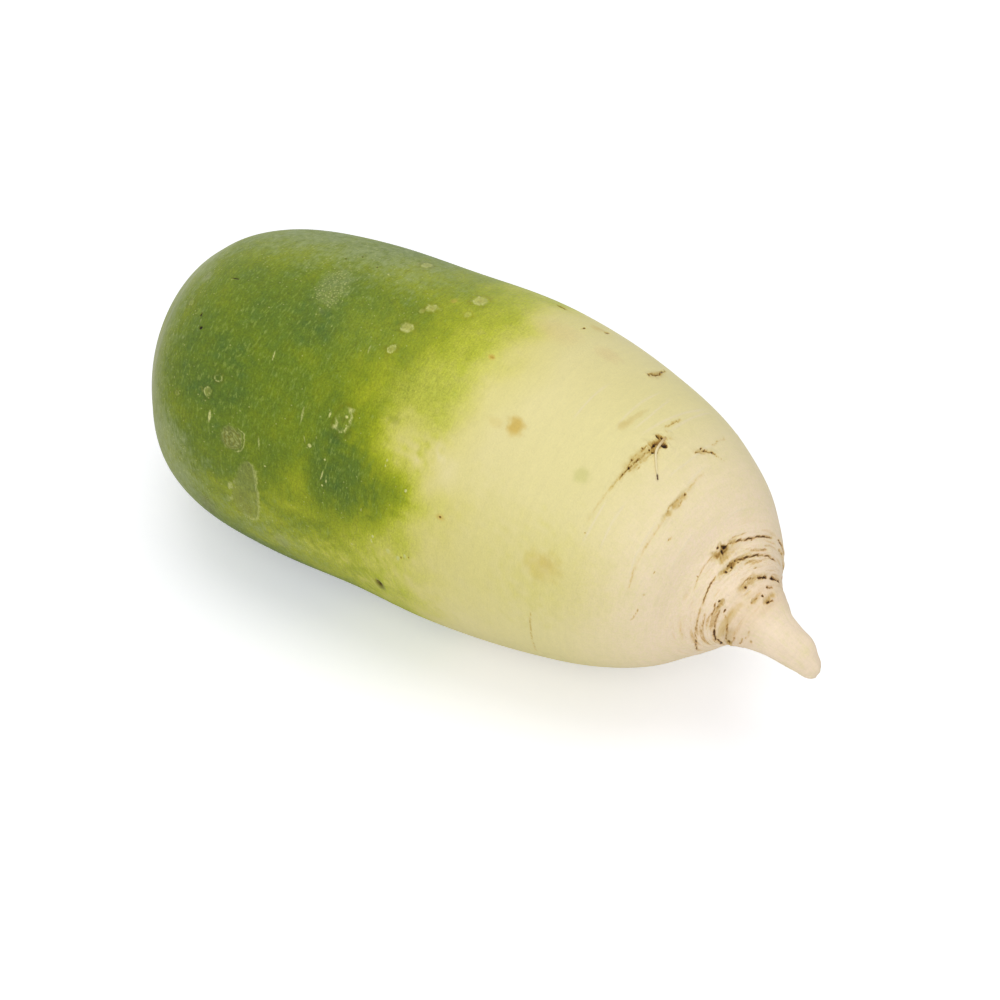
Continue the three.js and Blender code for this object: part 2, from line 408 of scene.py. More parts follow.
def ripple(places, size, seed, waves=10):
    """Smooth noise of about -1 to 1 at 3-D places, with bumps about size across."""
    random = np.random.default_rng(seed)
    total = np.zeros(len(places))
    for _ in range(waves):
        direction = random.normal(size=3)
        direction *= math.pi / size * random.uniform(0.6, 1.4) / np.linalg.norm(direction)
        total += np.sin(places @ direction + random.uniform(0, 2 * math.pi))
    return total / math.sqrt(waves)


def fade(distance, start, end):
    """1 up to start, 0 from end on, and smooth between."""
    share = np.clip((end - distance) / (end - start), 0, 1)
    return share * share * (3 - 2 * share)


def band(distance, middle, half):
    """1 at the middle, fading to 0 half a width away."""
    return fade(np.abs(distance - middle), 0, half)


# What the material reads at each corner of the skin, besides its place and its stain.
SHADES = ("green", "blush", "cork", "dark", "dusty", "dotted", "creased")


class Skin:
    """The skin's corners: where each lies on the root, and what the marks do to it."""

    def __init__(self, root, ring, turn):
        self.root = root
        self.ring = ring
        self.turn = turn
        self.along, self.reach, self.girth = (
            np.interp(ring, root.ring, values) for values in (root.along, root.reach, root.girth)
        )
        angle = np.radians(turn)
        across = [self.girth * np.cos(angle), self.girth * np.sin(angle)]
        self.straight = np.stack([self.reach, *across], -1)  # places on the root if it were unbent
        self.ragged = ripple(self.straight, 1.2, seed=3) + 0.6 * ripple(self.straight, 0.5, seed=4)
        self.patchy = ripple(self.straight, 2.2, seed=5)
        for name in ("relief", *SHADES):
            setattr(self, name, np.zeros(len(turn)))
        self.stain = np.zeros((len(turn), 4))

    def offset(self, along, turn, tilt=0):
        """How far each corner lies along and around the root from a place, turned by tilt degrees."""
        ahead = self.reach - self.root.reach_at(along)
        around = self.girth * np.radians(either_way(self.turn - turn))
        cos, sin = math.cos(math.radians(tilt)), math.sin(math.radians(tilt))
        return ahead * cos + around * sin, around * cos - ahead * sin

    def oval(self, along, turn, long, wide, tilt=0, ragged=0.12):
        """How far out each corner is from an oval's middle: 1 on its edge, which is a little ragged."""
        ahead, around = self.offset(along, turn, tilt)
        return np.hypot(ahead / long, around / wide) + ragged * self.ragged

    def path(self, places):
        """How far each corner lies ahead of a path, and its share of the way from the path's middle."""
        middle = np.mean([turn for _, turn in places])
        spots = np.array([
            (self.root.reach_at(along), self.root.girth_at(along) * math.radians(turn - middle))
            for along, turn in places
        ])
        around = self.girth * np.radians(either_way(self.turn - middle))
        order = np.argsort(spots[:, 1])
        ahead = self.reach - np.interp(around, spots[order, 1], spots[order, 0])
        half = np.ptp(spots[:, 1]) / 2
        return ahead, np.abs(around - spots[:, 1].min() - half) / half

    def at_least(self, shade, amount):
        """Raises a shade to an amount where it is lower."""
        setattr(self, shade, np.maximum(getattr(self, shade), amount))

    def tint(self, colour, cover):
        """Lays a colour over the stains so far. They are kept multiplied by how much they cover."""
        self.stain += cover[:, None] * (np.array(colour) - self.stain)


def away(skin, turn):
    """How many degrees each corner is from a turn, either way."""
    return np.abs(either_way(skin.turn - turn))


def green_shoulder(skin):
    """The green of the crown's half, a film over it that is partly dust and partly painted greyish sheen,
    the dots over it, and the blush of the tail's.
    """
    wavy = skin.along + 2.2 * ripple(skin.straight, 16, seed=11) + 1.2 * ripple(skin.straight, 5, seed=12)
    skin.green = np.interp(wavy, *zip(*GREEN_LEVELS))
    for along, turn, long, wide, more in GREEN_PATCHES:
        skin.green += more * fade(skin.oval(along, turn, long, wide), 0.1, 1.2)
    hidden = 1 - fade(away(skin, 130), 60, 100)
    skin.green += hidden * fade(skin.along, 85, 110) * 0.12 * ripple(skin.straight, 11, seed=13)
    skin.blush = 1 - fade(skin.along, 138, 184)
    # The film is partly dust and partly painted greyish sheen: on the shoulder, and in bands along the top
    # and lower sides, where the skin is seen at a glancing angle.
    shoulder = fade(skin.along - 14 * band(away(skin, 185), 0, 40), 12, 36)
    shoulder *= 0.8 + 0.3 * np.maximum(band(away(skin, 96), 0, 30), band(away(skin, 158), 0, 30))
    sides = np.maximum(0.6 * band(away(skin, 72), 0, 36), 0.4 * band(away(skin, 197), 0, 34))
    skin.dusty = np.maximum(shoulder, sides) * fade(skin.along, 60, 94)
    skin.tint(PALE, 0.35 * fade(skin.along, 8, 26) * band(away(skin, 155), 0, 40))
    skin.dotted = 0.3 * skin.dusty + 0.02 * (1 - fade(skin.green, 0.5, 0.7))


def tail(skin):
    """The folds round the tail's base with painted shade in their hollows, the ridges along it, its knob
    and its slanting end.
    """
    sides = np.maximum(fade(away(skin, 75), 20, 60), fade(away(skin, 215), 30, 80))
    sides = np.maximum(sides, fade(away(skin, 320), 20, 60))
    skin.creased = band(skin.along, 180.5, 10) * (0.4 + 0.6 * sides)
    for size, height, seed in ((1.2, 0.22, 14), (0.55, 0.1, 16)):
        folds = ripple(skin.straight * (1, 0.13, 0.13), size, seed)
        skin.relief += height * skin.creased * folds
        # Painted shade in the hollows of the folds.
        skin.at_least("dark", 0.2 * skin.creased * fade(folds, -1.6, -0.8))
    ridges = ripple(skin.straight * (0.08, 1, 1), 1.3, seed=15)
    skin.relief += 0.12 * (1 - fade(skin.along, 186, 194)) * ridges
    end = 1 - fade(skin.along, 200.5, 204.5)
    skin.relief += end * (0.5 * fade(away(skin, 245), 20, 80) - 0.5 * fade(away(skin, 60), 20, 70))
    knob = 0.6 * band(skin.along, 199, 4) - 0.3 * band(skin.along, 192, 4)
    skin.relief += fade(away(skin, 50), 20, 80) * knob
    skin.tint(srgb(222, 190, 152), 0.3 * band(skin.along, 185.5, 6))


def stain(skin, along, turn, long, wide, tilt, colour, cover):
    skin.tint(colour, cover * fade(skin.oval(along, turn, long, wide, tilt), 0.4, 1.25))


def pore(skin, along, turn, long, wide, tilt, paleness, filling):
    """A broken corky ring round a filled pore, with a greener furrow outside."""
    out = skin.oval(along, turn, long, wide, tilt, ragged=0.07)
    lip = band(out, 0.9, min(0.3, 0.45 / long)) * np.clip(0.65 + 0.6 * skin.patchy, 0.1, 1)
    skin.relief += 0.12 * lip
    skin.at_least("dark", 0.12 * np.maximum(band(out, 1.35, 0.3), fade(out, 0, 0.5)))
    skin.tint(MOSS, filling * fade(out, 0.8, 1.1))
    skin.at_least("cork", paleness * lip)


def fleck(skin, along, turn, long, wide, tilt, paleness):
    out = skin.oval(along, turn, long, wide, tilt, ragged=0.15)
    skin.relief += 0.1 * fade(out, 0.2, 1.2)
    skin.at_least("cork", paleness * fade(out, 0.4, 1.15))


def pit(skin, along, turn, long, wide, depth, darkness):
    out = skin.oval(along, turn, long, wide, ragged=0.2)
    skin.relief += depth * (0.3 * band(out, 1.5, 0.5) - fade(out, 0, 1.1))
    skin.at_least("dark", darkness * fade(out, 0.2, 1.15))


def scar(skin, along, turn, long, wide, tilt, darkness):
    out = skin.oval(along, turn, long, wide, tilt, ragged=0.25)
    skin.relief += 0.2 * band(out, 1.3, 0.5) - 0.2 * fade(out, 0.3, 1.1)
    skin.tint(HUSK, (0.35 + darkness) * fade(out, 0.2, 1.6))
    skin.at_least("dark", darkness * fade(out, 0.1, 1.25))


def crack(skin, width, depth, darkness, places):
    """A crack across the root, patchy and thinning out to both ends, with a lip on its crown side."""
    ahead, share = skin.path(places)
    out = np.abs(ahead + 0.4 * width * skin.ragged) / width
    fading = fade(share, 0.7, 1.04)
    patchy = np.clip(0.85 + 0.3 * skin.patchy + 0.3 * skin.ragged, 0.2, 1.15)
    skin.relief += depth * fading * (0.6 * band(ahead / width, -2.2, 1.8) - fade(out, 0, 1.2))
    shade = np.maximum(fade(out, 0.2, 1.2), 0.22 * fade(out, 0.5, 2.4))
    skin.at_least("dark", darkness * np.sqrt(fading) * patchy * shade)


def seam(skin, width, places):
    """A fine pale line, a little raised."""
    ahead, share = skin.path(places)
    line = fade(share, 0.5, 1.02) * fade(np.abs(ahead) / width, 0.1, 1.3)
    skin.relief += 0.1 * line
    skin.tint(PALE, SEAM_COVER * line)


# The scab and the dotted patch: place, half sizes and tilt.
SCAB = (46, 160, 2.9, 3.3, 10)
DOTTED_PATCH = (54.5, 97, 3.6, 8.2, -8)
SCAB_RINGS = 3.5

DROP_TIP = (50.6, 166)  # the drop-shaped scar's narrow end
DROP_LENGTH = 20  # round the root
DROP_HALF_WIDTH = 5
DROP_LEAN = 1.9  # how far its blunt end leans to the crown


def scab(skin):
    """A dry round scab, finely ringed, with a pale lip on its tail side."""
    out = skin.oval(*SCAB, ragged=0.05)
    ahead, _ = skin.offset(*SCAB[:2])
    rings = np.cos(2 * math.pi * out * SCAB_RINGS + 1.6 * skin.ragged)
    inside = fade(out, 0.7, 1.15)
    skin.tint(FILM, 0.5 * inside)
    skin.at_least("cork", 0.32 * inside * np.clip(rings, 0, 1))
    skin.at_least("dark", 0.14 * inside * np.clip(-rings, 0, 1))
    skin.relief += inside * (0.06 + 0.06 * rings)
    lip = band(out, 1.12, 0.1) * (1 - fade(ahead, 0.2, 2))
    skin.at_least("cork", 0.5 * lip)
    skin.relief += 0.12 * lip


def drop_scar(skin):
    """A drop-shaped scar: a dull film, a pale lip on its tail side, and a rough edge on the other."""
    ahead, around = skin.offset(*DROP_TIP)
    share = np.clip(around / DROP_LENGTH, 0, 1)
    half = DROP_HALF_WIDTH * share**0.4 * np.sqrt(1 - share**5)
    ahead += DROP_LEAN * share + 0.2 * skin.ragged
    between = (share > 0) & (share < 1)
    inside = between * fade(np.abs(ahead) - half, -0.8, 0.3)
    skin.tint(FILM, 0.45 * inside * (1 - 0.4 * share))
    skin.relief -= 0.12 * inside
    lip = between * fade(np.abs(ahead - half), 0.2, 0.7)
    foot = band(around, DROP_LENGTH - 0.6, 1.0) * fade(np.abs(ahead), 1.5, 3)
    rough = between * fade(np.abs(ahead + half), 0.3, 1.4) * band(share, 0.55, 0.5)
    rough *= np.clip(0.3 + skin.ragged, 0, 1)
    skin.at_least("cork", np.maximum(0.38 * lip + 0.25 * foot, 0.5 * rough))
    skin.relief += 0.15 * np.maximum(lip, rough)


def dotted_patch(skin):
    """A patch of close pale dots."""
    inside = fade(skin.oval(*DOTTED_PATCH), 0.7, 1.15)
    skin.tint(SAGE, 0.28 * inside)
    skin.at_least("dotted", inside)


# Marks scattered over the sides that the photo doesn't show: how many, and the least and most of each
# value in a row.
SCATTERED = [
    (pore, 18, (18, 226, 0.6, 0.8, -30, 0.3, 0.1), (98, 395, 1.7, 2.2, 30, 0.75, 0.8)),
    (fleck, 70, (12, 222, 0.2, 0.4, -12, 0.3), (100, 398, 0.4, 2.2, 12, 0.9)),
]
UNSEEN_PITS = 26
UNSEEN_TAIL_CRACKS = 16
# Where side roots grew underneath: distance along, turn and half width.
UNSEEN_SCARS = [
    (112, 268, 2), (126, 284, 3.5), (137, 262, 3), (148, 275, 4.5), (157, 288, 3), (164, 266, 4),
]


def unseen_marks():
    """Each mark with its row, for the sides that the photo doesn't show."""
    random = np.random.default_rng(31)
    for mark, count, least, most in SCATTERED:
        for row in random.uniform(least, most, (count, len(least))):
            yield mark, row
    least, most = (20, 226, 0.2, 0.2, 0.4), (168, 395, 0.5, 0.7, 0.9)
    for *place, darkness in random.uniform(least, most, (UNSEEN_PITS, len(least))):
        yield pit, (*place, 0.2, darkness)
    for along, turn, wide in UNSEEN_SCARS:
        yield scar, (along, turn, 0.3 * wide, wide, random.uniform(-8, 8), 0.34)
        for _ in range(5):
            place = random.normal((along, turn), (0.4, wide))
            yield pit, (*place, *random.uniform((0.2, 0.3), (0.5, 0.8)), 0.4, 0.9)
        yield crack, (0.25, 0.3, 0.45, [(along, turn), (along + 0.6, turn + 12 * random.choice((-1, 1)))])
    for _ in range(UNSEEN_TAIL_CRACKS):
        along, turn, wide = random.uniform((174, 250, 12), (186.5, 375, 32))
        middle = (along + random.uniform(-0.5, 0.5), turn + wide / 2)
        yield crack, (random.uniform(0.18, 0.34), 0.35, random.uniform(0.3, 0.9), [
            (along, turn), middle, (along + random.uniform(-0.4, 0.4), turn + wide),
        ])


# --- The skin's mesh ---


def skin_courses(root):
    """The ring numbers of the skin's courses between the two tips."""
    spacing = np.interp(root.along[1:], *zip(*COURSE_SPACING))
    courses = np.append(0, (np.diff(root.reach) / spacing).cumsum())
    return np.interp(np.arange(1, int(courses[-1])), courses, root.ring)


def plain_skin(root):
    """The skin's mesh before any marks. Each corner keeps its ring number and which way it faces."""
    rings = skin_courses(root)
    turns = CUT_TURN + np.arange(COLUMNS) * 360 / COLUMNS
    ring = np.concatenate([[0], np.repeat(rings, COLUMNS), [root.last]])
    turn = np.concatenate([[0], np.tile(turns, len(rings)), [0]])
    first = 1 + np.arange((len(rings) - 1) * COLUMNS).reshape(-1, COLUMNS)
    beside = np.roll(first, -1, axis=1)
    bands = np.stack([first, beside, beside + COLUMNS, first + COLUMNS], -1).reshape(-1, 4)
    crown, tail, tip = first[0], first[-1] + COLUMNS, len(ring) - 1
    fans = [(0, after, at) for at, after in zip(crown, np.roll(crown, -1))]
    fans += [(tip, at, after) for at, after in zip(tail, np.roll(tail, -1))]
    mesh = bpy.data.meshes.new("radish_skin")
    mesh.from_pydata(root.point(ring, turn) * MM, [], [*fans, *bands.tolist()])
    angle = np.radians(turn)
    for name, values in (("ring", ring), ("level", np.cos(angle)), ("upright", np.sin(angle))):
        write(mesh, name, "FLOAT", values)
    return mesh


def write(mesh, name, kind, values):
    """Puts one value per corner into a mesh attribute."""
    field = {"FLOAT": "value", "FLOAT_VECTOR": "vector", "FLOAT_COLOR": "color"}[kind]
    attribute = mesh.attributes.new(name, kind, "POINT")
    attribute.data.foreach_set(field, np.asarray(values, np.float32).ravel())


def read(mesh, name):
    values = np.empty(len(mesh.vertices), np.float32)
    mesh.attributes[name].data.foreach_get("value", values)
    return values.astype(float)


FACES_ACROSS = 2.5  # faces wanted over half of a mark's narrow side
SMALLEST_FACE, LARGEST_FACE = 0.2, 0.6
LINE_FACE = 0.36


def fine_zones(marks):
    """Where the skin needs smaller faces: a place, its half sizes, and the size of face wanted."""
    for along, turn, long, wide in marks:
        face = min(max(min(long, wide) / FACES_ACROSS, SMALLEST_FACE), LARGEST_FACE)
        yield along, turn, long + 0.3, wide + 0.3, face


def line_zones(root, lines):
    """The same for lines, apart from those at the tail's base, where the courses lie close anyway."""
    for places in lines:
        (along, turn), (longer, wider) = np.mean(places, axis=0), np.ptp(places, axis=0) / 2
        if along < 172:
            yield along, turn, longer + 0.6, root.girth_at(along) * math.radians(wider), LINE_FACE


# The same for the scab and the drop-shaped scar.
CLOSE_ZONES = [(*SCAB[:2], 3.6, 4.1, 0.2), (49.5, 179, 5, 11, 0.35)]

ZONE_MARGINS = (1.2, 0.6, 0.3)  # how far past its zones each round of splitting reaches
LONGEST_EDGE = 1.4  # times the size of face wanted


def refined(mesh, root, zones):
    """Splits the mesh's edges in the zones until they are as short as wanted."""
    work = bmesh.new()
    work.from_mesh(mesh)
    ring_of, level_of, upright_of = (work.verts.layers.float[n] for n in ("ring", "level", "upright"))
    for margin in ZONE_MARGINS:
        places = np.array([(v[ring_of], v[level_of], v[upright_of]) for v in work.verts])
        turn = np.degrees(np.arctan2(places[:, 2], places[:, 1]))
        skin = Skin(root, places[:, 0], turn)
        wanted = np.full(len(places), np.inf)
        for along, turn, long, wide, size in zones:
            inside = skin.oval(along, turn, long + margin, wide + margin, ragged=0) < 1
            wanted[inside] = np.minimum(wanted[inside], size)
        limit = (LONGEST_EDGE * MM * wanted).tolist()
        work.verts.index_update()
        long_edges = [
            edge for edge in work.edges
            if edge.calc_length() > max(limit[edge.verts[0].index], limit[edge.verts[1].index])
        ]
        bmesh.ops.subdivide_edges(work, edges=long_edges, cuts=1, use_grid_fill=True)
    bmesh.ops.triangulate(work, faces=[face for face in work.faces if len(face.verts) > 4])
    work.to_mesh(mesh)
    work.free()


def bake_map(mesh, skin):
    """A map that runs along and round the skin, cut underneath."""
    vertex = np.empty(len(mesh.loops), np.int32)
    first, count = np.empty((2, len(mesh.polygons)), np.int32)
    mesh.loops.foreach_get("vertex_index", vertex)
    mesh.polygons.foreach_get("loop_start", first)
    mesh.polygons.foreach_get("loop_total", count)
    share = ((skin.turn - CUT_TURN) / 360 % 1)[vertex]
    tips = skin.girth[vertex] < 1e-6
    arms = np.exp(2j * math.pi * share) * ~tips
    middle = (np.angle(np.add.reduceat(arms, first)) / (2 * math.pi) % 1).repeat(count)
    round_skin = np.where(tips, middle, middle + (share - middle + 0.5) % 1 - 0.5)
    places = np.stack([skin.reach[vertex] / skin.reach.max(), round_skin.clip(0, 1)], -1)
    layer = mesh.uv_layers.new(name="OFBake")
    layer.uv.foreach_set("vector", places.astype(np.float32).ravel())


def put_in_place(mesh, skin):
    """Moves the mesh's corners onto the root, out or in by their relief, and none below the floor."""
    points = skin.root.point(skin.ring, skin.turn) * MM
    mesh.vertices.foreach_set("co", points.ravel())
    mesh.update()
    normals = np.empty(points.size)
    mesh.vertex_normals.foreach_get("vector", normals)
    points += normals.reshape(-1, 3) * skin.relief[:, None] * MM
    points[:, 2] = points[:, 2].clip(0)
    mesh.vertices.foreach_set("co", points.ravel())
    mesh.polygons.foreach_set("use_smooth", [True] * len(mesh.polygons))
    mesh.update()


# --- The crown ---

STALKS = 13
GOLDEN_TURN = 137.5  # degrees from each leaf stalk to the next
STALK_FACE = srgb(196, 194, 128)
STALK_RIM = srgb(138, 150, 74)
# Painted shade for the deep gaps between the cut stalks.
CROWN_GAP_SHADE = srgb(92, 88, 44)
BUD = srgb(176, 184, 92)
CROWN_CREASES = 9


def crown(skin):
    """The crown's end: the cut leaf stalks, and the creases and puckers round them."""
    radius = np.where(skin.reach < 45, skin.girth, 1e3)
    random = np.random.default_rng(21)
    cut_stalks(skin, radius, random)
    crown_creases(skin, radius, random)
    angle = np.radians(skin.turn)
    rays = np.stack([10 * np.cos(angle), 10 * np.sin(angle), 0.05 * skin.reach], -1)
    skin.relief += 0.16 * ripple(rays, 0.8, seed=23) * band(radius, BOSS_RADIUS + 5, 8)


def cut_stalks(skin, radius, random):
    """The cut faces of the leaf stalks, packed close on the boss round the bud, with painted shade in the
    deep gaps between them.
    """
    boss = fade(radius, BOSS_RADIUS - 0.8, BOSS_RADIUS + 0.6)
    outs = []
    for number in range(STALKS):
        grown = (number + 0.8) / STALKS
        place = (BOSS_RADIUS - 1.5) * math.sqrt(grown)
        around = radius * np.radians(either_way(skin.turn - number * GOLDEN_TURN))
        bent = radius - place - 0.02 * around**2
        outs.append(np.hypot(bent / (0.6 + 0.6 * grown), around / (1.2 + 2.2 * grown)) + 0.05 * skin.ragged)
    nearest, second = np.sort(outs, axis=0)[:2]
    drop = random.uniform(0, 0.9, STALKS)[np.argmin(outs, axis=0)]
    face = (1 - fade(second - nearest, 0.15, 0.5)) * fade(nearest, 1.4, 2.0)
    middle = (1 - fade(second - nearest, 0.5, 1.1)) * fade(nearest, 1.0, 1.7)
    skin.relief -= boss * (1.4 * (1 - face) + drop * face + 0.25 * middle)
    skin.dusty *= 1 - boss
    skin.dotted *= 1 - boss
    fibres = np.clip(ripple(skin.straight, 0.45, seed=22), 0, 1)
    # Painted shade over the whole boss, which the stalks' colours then cover, so that it stays in the gaps.
    skin.tint(CROWN_GAP_SHADE, 0.85 * boss)
    skin.tint(STALK_RIM, 0.95 * boss * face)
    skin.tint(STALK_FACE, 0.9 * boss * middle)
    skin.tint(TAN, boss * middle * (0.25 + 0.5 * fibres))
    skin.tint(BUD, fade(radius, 1.2, 2.4))


def crown_creases(skin, radius, random):
    """Creases that curve round the boss, with painted shade in their hollows."""
    for number in range(CROWN_CREASES):
        place, wide = BOSS_RADIUS + 2.6 + 0.8 * number, random.uniform(5, 9)
        around = radius * np.radians(either_way(skin.turn - 40 - number * GOLDEN_TURN))
        out = np.hypot((radius - place + 0.015 * around**2) / 0.5, around / wide) + 0.15 * skin.ragged
        skin.relief -= 0.2 * fade(out, 0, 1.2)
        skin.at_least("cork", 0.4 * band(out, 1.2, 0.6))
        # Painted shade inside each crease.
        skin.at_least("dark", 0.2 * fade(out, 0.3, 1))


# --- Materials ---


class Nodes:
    """The nodes of a material or a world. Given as an input, a node stands for its first output."""

    def __init__(self, owner):
        owner.use_nodes = True
        self.owner = owner
        self.tree = owner.node_tree
        self.tree.nodes.clear()

    def add(self, kind, inputs, **settings):
        node = self.tree.nodes.new("ShaderNode" + kind)
        for name, value in settings.items():
            setattr(node, name, value)
        for socket, value in inputs.items():
            if isinstance(value, bpy.types.Node):
                value = value.outputs[0]
            if isinstance(value, bpy.types.NodeSocket):
                self.tree.links.new(value, node.inputs[socket])
            else:
                node.inputs[socket].default_value = value
        return node

    def attribute(self, name, output="Fac"):
        return self.add("Attribute", {}, attribute_name=name).outputs[output]

    def maths(self, operation, first, second):
        return self.add("Math", {0: first, 1: second}, operation=operation)

    def sum(self, *terms):
        """The terms added up. A term is a value, or a pair of a value and what it is multiplied by."""
        total = 0.0
        for term in terms:
            value, factor = term if isinstance(term, tuple) else (term, 1.0)
            total = self.add("Math", {0: value, 1: factor, 2: total}, operation="MULTIPLY_ADD")
        return total

    def mix(self, share, first, second):
        return self.add("Mix", {0: share, 6: first, 7: second}, data_type="RGBA").outputs[2]

    def scaled(self, colour, factor):
        return self.add("VectorMath", {0: colour, "Scale": factor}, operation="SCALE")

    def vectors(self, operation, first, second):
        return self.add("VectorMath", {0: first, 1: second}, operation=operation)

    def dots(self, places, spacing, share):
        """Small dots this far apart in millimetres. Only this share of them is there."""
        cells = self.add("TexVoronoi", {"Vector": places, "Scale": 1 / spacing}).outputs
        there = self.maths("LESS_THAN", self.add("SeparateColor", {0: cells["Color"]}), share)
        return self.maths("MULTIPLY", there, self.step(cells["Distance"], 0.46, 0.14))

    def step(self, value, low, high):
        """0 below low, 1 above high, and smooth between."""
        inputs = {"Value": value, "From Min": low, "From Max": high}
        return self.add("MapRange", inputs, interpolation_type="SMOOTHSTEP")

    def noise(self, places, along, around, detail):
        """Noise centred on 0, with bumps of this size along and around the root, in millimetres."""
        stretched = self.vectors("MULTIPLY", places, (1 / along, 1 / around, 1 / around))
        inputs = {"Vector": stretched, "Scale": 1.0, "Detail": detail, "Roughness": 0.55}
        return self.maths("SUBTRACT", self.add("TexNoise", inputs), 0.5)

    def ramp(self, value, stops):
        node = self.add("ValToRGB", {0: value})
        elements = node.color_ramp.elements
        while len(elements) < len(stops):
            elements.new(0.5)
        for element, (place, colour) in zip(elements, stops):
            element.position = place
            element.color = colour
        return node

    def finish(self, shader, output="OutputMaterial"):
        """Puts the shader out, and returns the finished material or world."""
        self.add(output, {"Surface": shader})
        return self.owner


# The skin's colour by how green it is.
GREENS = [
    (0.0, srgb(232, 221, 160)),
    (0.1, srgb(223, 214, 132)),
    (0.2, srgb(209, 206, 98)),
    (0.35, srgb(184, 189, 56)),
    (0.5, srgb(158, 168, 30)),
    (0.65, srgb(132, 147, 22)),
    (0.8, srgb(109, 129, 26)),
    (1.0, srgb(83, 109, 36)),
]
TAIL_BLUSH = srgb(247, 226, 197)
# The film's colour: dust, and a painted greyish sheen at the skin's edges.
DUST_AND_SHEEN = srgb(169, 178, 122)
STROKE = srgb(150, 166, 78)
CORK = srgb(208, 210, 132)
# What scarred and cracked skin keeps of each colour, by how dark it is. The same darkening also paints
# shade into the hollows of the tail's folds and the crown's creases.
DARKS = [
    (0.0, srgb(255, 255, 255)),
    (0.15, srgb(238, 226, 196)),
    (0.3, srgb(204, 180, 136)),
    (0.55, srgb(138, 110, 78)),
    (0.8, srgb(72, 53, 42)),
    (1.0, srgb(40, 30, 28)),
]


# Noises that the skin's colours and bumps share: their size along and around the root, and detail.
NOISES = {
    "grain": (0.4, 0.5, 2.0),
    "flecks": (0.5, 1.6, 2.0),
    "spots": (1.6, 2.4, 3.0),
    "mottle": (5, 7, 3.0),
    "streaks": (0.5, 5, 3.0),
    "growth": (1.6, 22, 1.0),
    "fibres": (14, 0.7, 2.0),
}


def skin_levels(nodes):
    """What the mesh says of the skin, the noises, and how green, dotted, corky and dark they make it."""
    places = nodes.attribute("straight", "Vector")
    skin = SimpleNamespace(**{name: nodes.attribute(name) for name in SHADES})
    for name, size in NOISES.items():
        setattr(skin, name, nodes.noise(places, *size))
    skin.greenness = nodes.step(skin.green, 0.0, 0.5)
    uneven = nodes.sum((skin.mottle, 0.42), (skin.spots, 0.2), (skin.streaks, 0.05))
    skin.green_level = nodes.sum(skin.green, (uneven, skin.greenness))
    skin.dots = nodes.dots(places, 0.62, skin.dotted)
    broken = nodes.sum((skin.grain, 2.6), (skin.flecks, 2.0))
    corky = nodes.maths("MULTIPLY", skin.cork, broken)
    skin.cork_cover = nodes.step(nodes.sum(skin.cork, (corky, 0.6)), 0.0, 0.9)
    thin = nodes.step(nodes.maths("ABSOLUTE", skin.streaks, 0.0), 0.025, 0.0)
    lines = nodes.maths("MULTIPLY", thin, skin.creased)
    brokenness = nodes.maths("MULTIPLY", broken, nodes.sum(1.2, (skin.dark, -1.0)))
    skin.dark_level = nodes.sum(skin.dark, (skin.dark, brokenness), (lines, 0.14))
    return skin


def skin_colour(nodes, skin):
    """The skin's colour, laid on layer by layer."""
    stained = nodes.add("Attribute", {}, attribute_name="stain").outputs
    pinkness = nodes.sum(0.95, skin.mottle, (skin.streaks, 0.6), (skin.fibres, 1.3))
    colour = nodes.ramp(skin.green_level, GREENS)
    colour = nodes.mix(nodes.maths("MULTIPLY", skin.blush, pinkness), colour, TAIL_BLUSH)
    unstained = nodes.scaled(colour, nodes.maths("SUBTRACT", 1.0, stained["Alpha"]))
    colour = nodes.vectors("ADD", unstained, stained["Color"])
    texture = nodes.sum((skin.grain, 0.9), (skin.flecks, 0.5), (skin.spots, 0.5), (skin.mottle, 0.2))
    contrast = nodes.sum(0.15, (skin.greenness, 0.85))
    colour = nodes.scaled(colour, nodes.sum(1.0, (texture, contrast), (skin.growth, 0.06)))
    deep_green = nodes.step(skin.green_level, 0.5, 1.0)
    strokes = nodes.maths("MULTIPLY", nodes.step(skin.flecks, 0.05, 0.2), deep_green)
    # How far the film of dust and painted sheen covers the skin.
    dust = nodes.sum((skin.dusty, 0.8), (skin.flecks, 0.5), (skin.spots, 0.9), (skin.mottle, 0.7))
    layers = [
        (strokes, 0.5, STROKE),
        (nodes.step(dust, 0.1, 1.0), 0.75, DUST_AND_SHEEN),
        (skin.dots, 0.42, CORK),
        (skin.cork_cover, 1.0, CORK),
    ]
    for cover, most, over in layers:
        colour = nodes.mix(nodes.sum((cover, most)), colour, over)
    return nodes.vectors("MULTIPLY", colour, nodes.ramp(skin.dark_level, DARKS))


def skin_bump(nodes, skin):
    """Bumps that are too fine for the mesh."""
    tail_fibres = nodes.maths("MULTIPLY", skin.fibres, skin.blush)
    height = nodes.sum(
        (skin.streaks, 0.4), (skin.growth, 0.3), (skin.grain, 0.5), (skin.flecks, 0.5),
        (tail_fibres, 0.8), (skin.dots, 0.15), (skin.cork_cover, 0.3), (skin.dark_level, -0.4),
    )
    return nodes.add("Bump", {"Strength": 0.5, "Distance": 0.25 * MM, "Height": height})


def skin_material():
    nodes = Nodes(bpy.data.materials.new("radish_skin"))
    skin = skin_levels(nodes)
    roughness = nodes.sum(
        0.42, (skin.grain, 0.3), (skin.streaks, 0.25), (skin.cork_cover, 0.2), (skin.dark_level, 0.2),
    )
    return nodes.finish(nodes.add("BsdfPrincipled", {
        "Base Color": skin_colour(nodes, skin),
        "Roughness": roughness,
        "Normal": skin_bump(nodes, skin),
        "Specular IOR Level": 0.2,
    }))


# --- Rootlets ---

ROOTLET_SIDES = 8
# Fine side roots left in scars: half thickness, and each place passed with its height over the skin.
ROOTLETS = [
    (0.44, [(149.5, 88.5, -0.3), (150.2, 94, 0.4), (151, 98, 0.7), (152.8, 102, 0.6), (155, 106.5, 0.25)]),
]


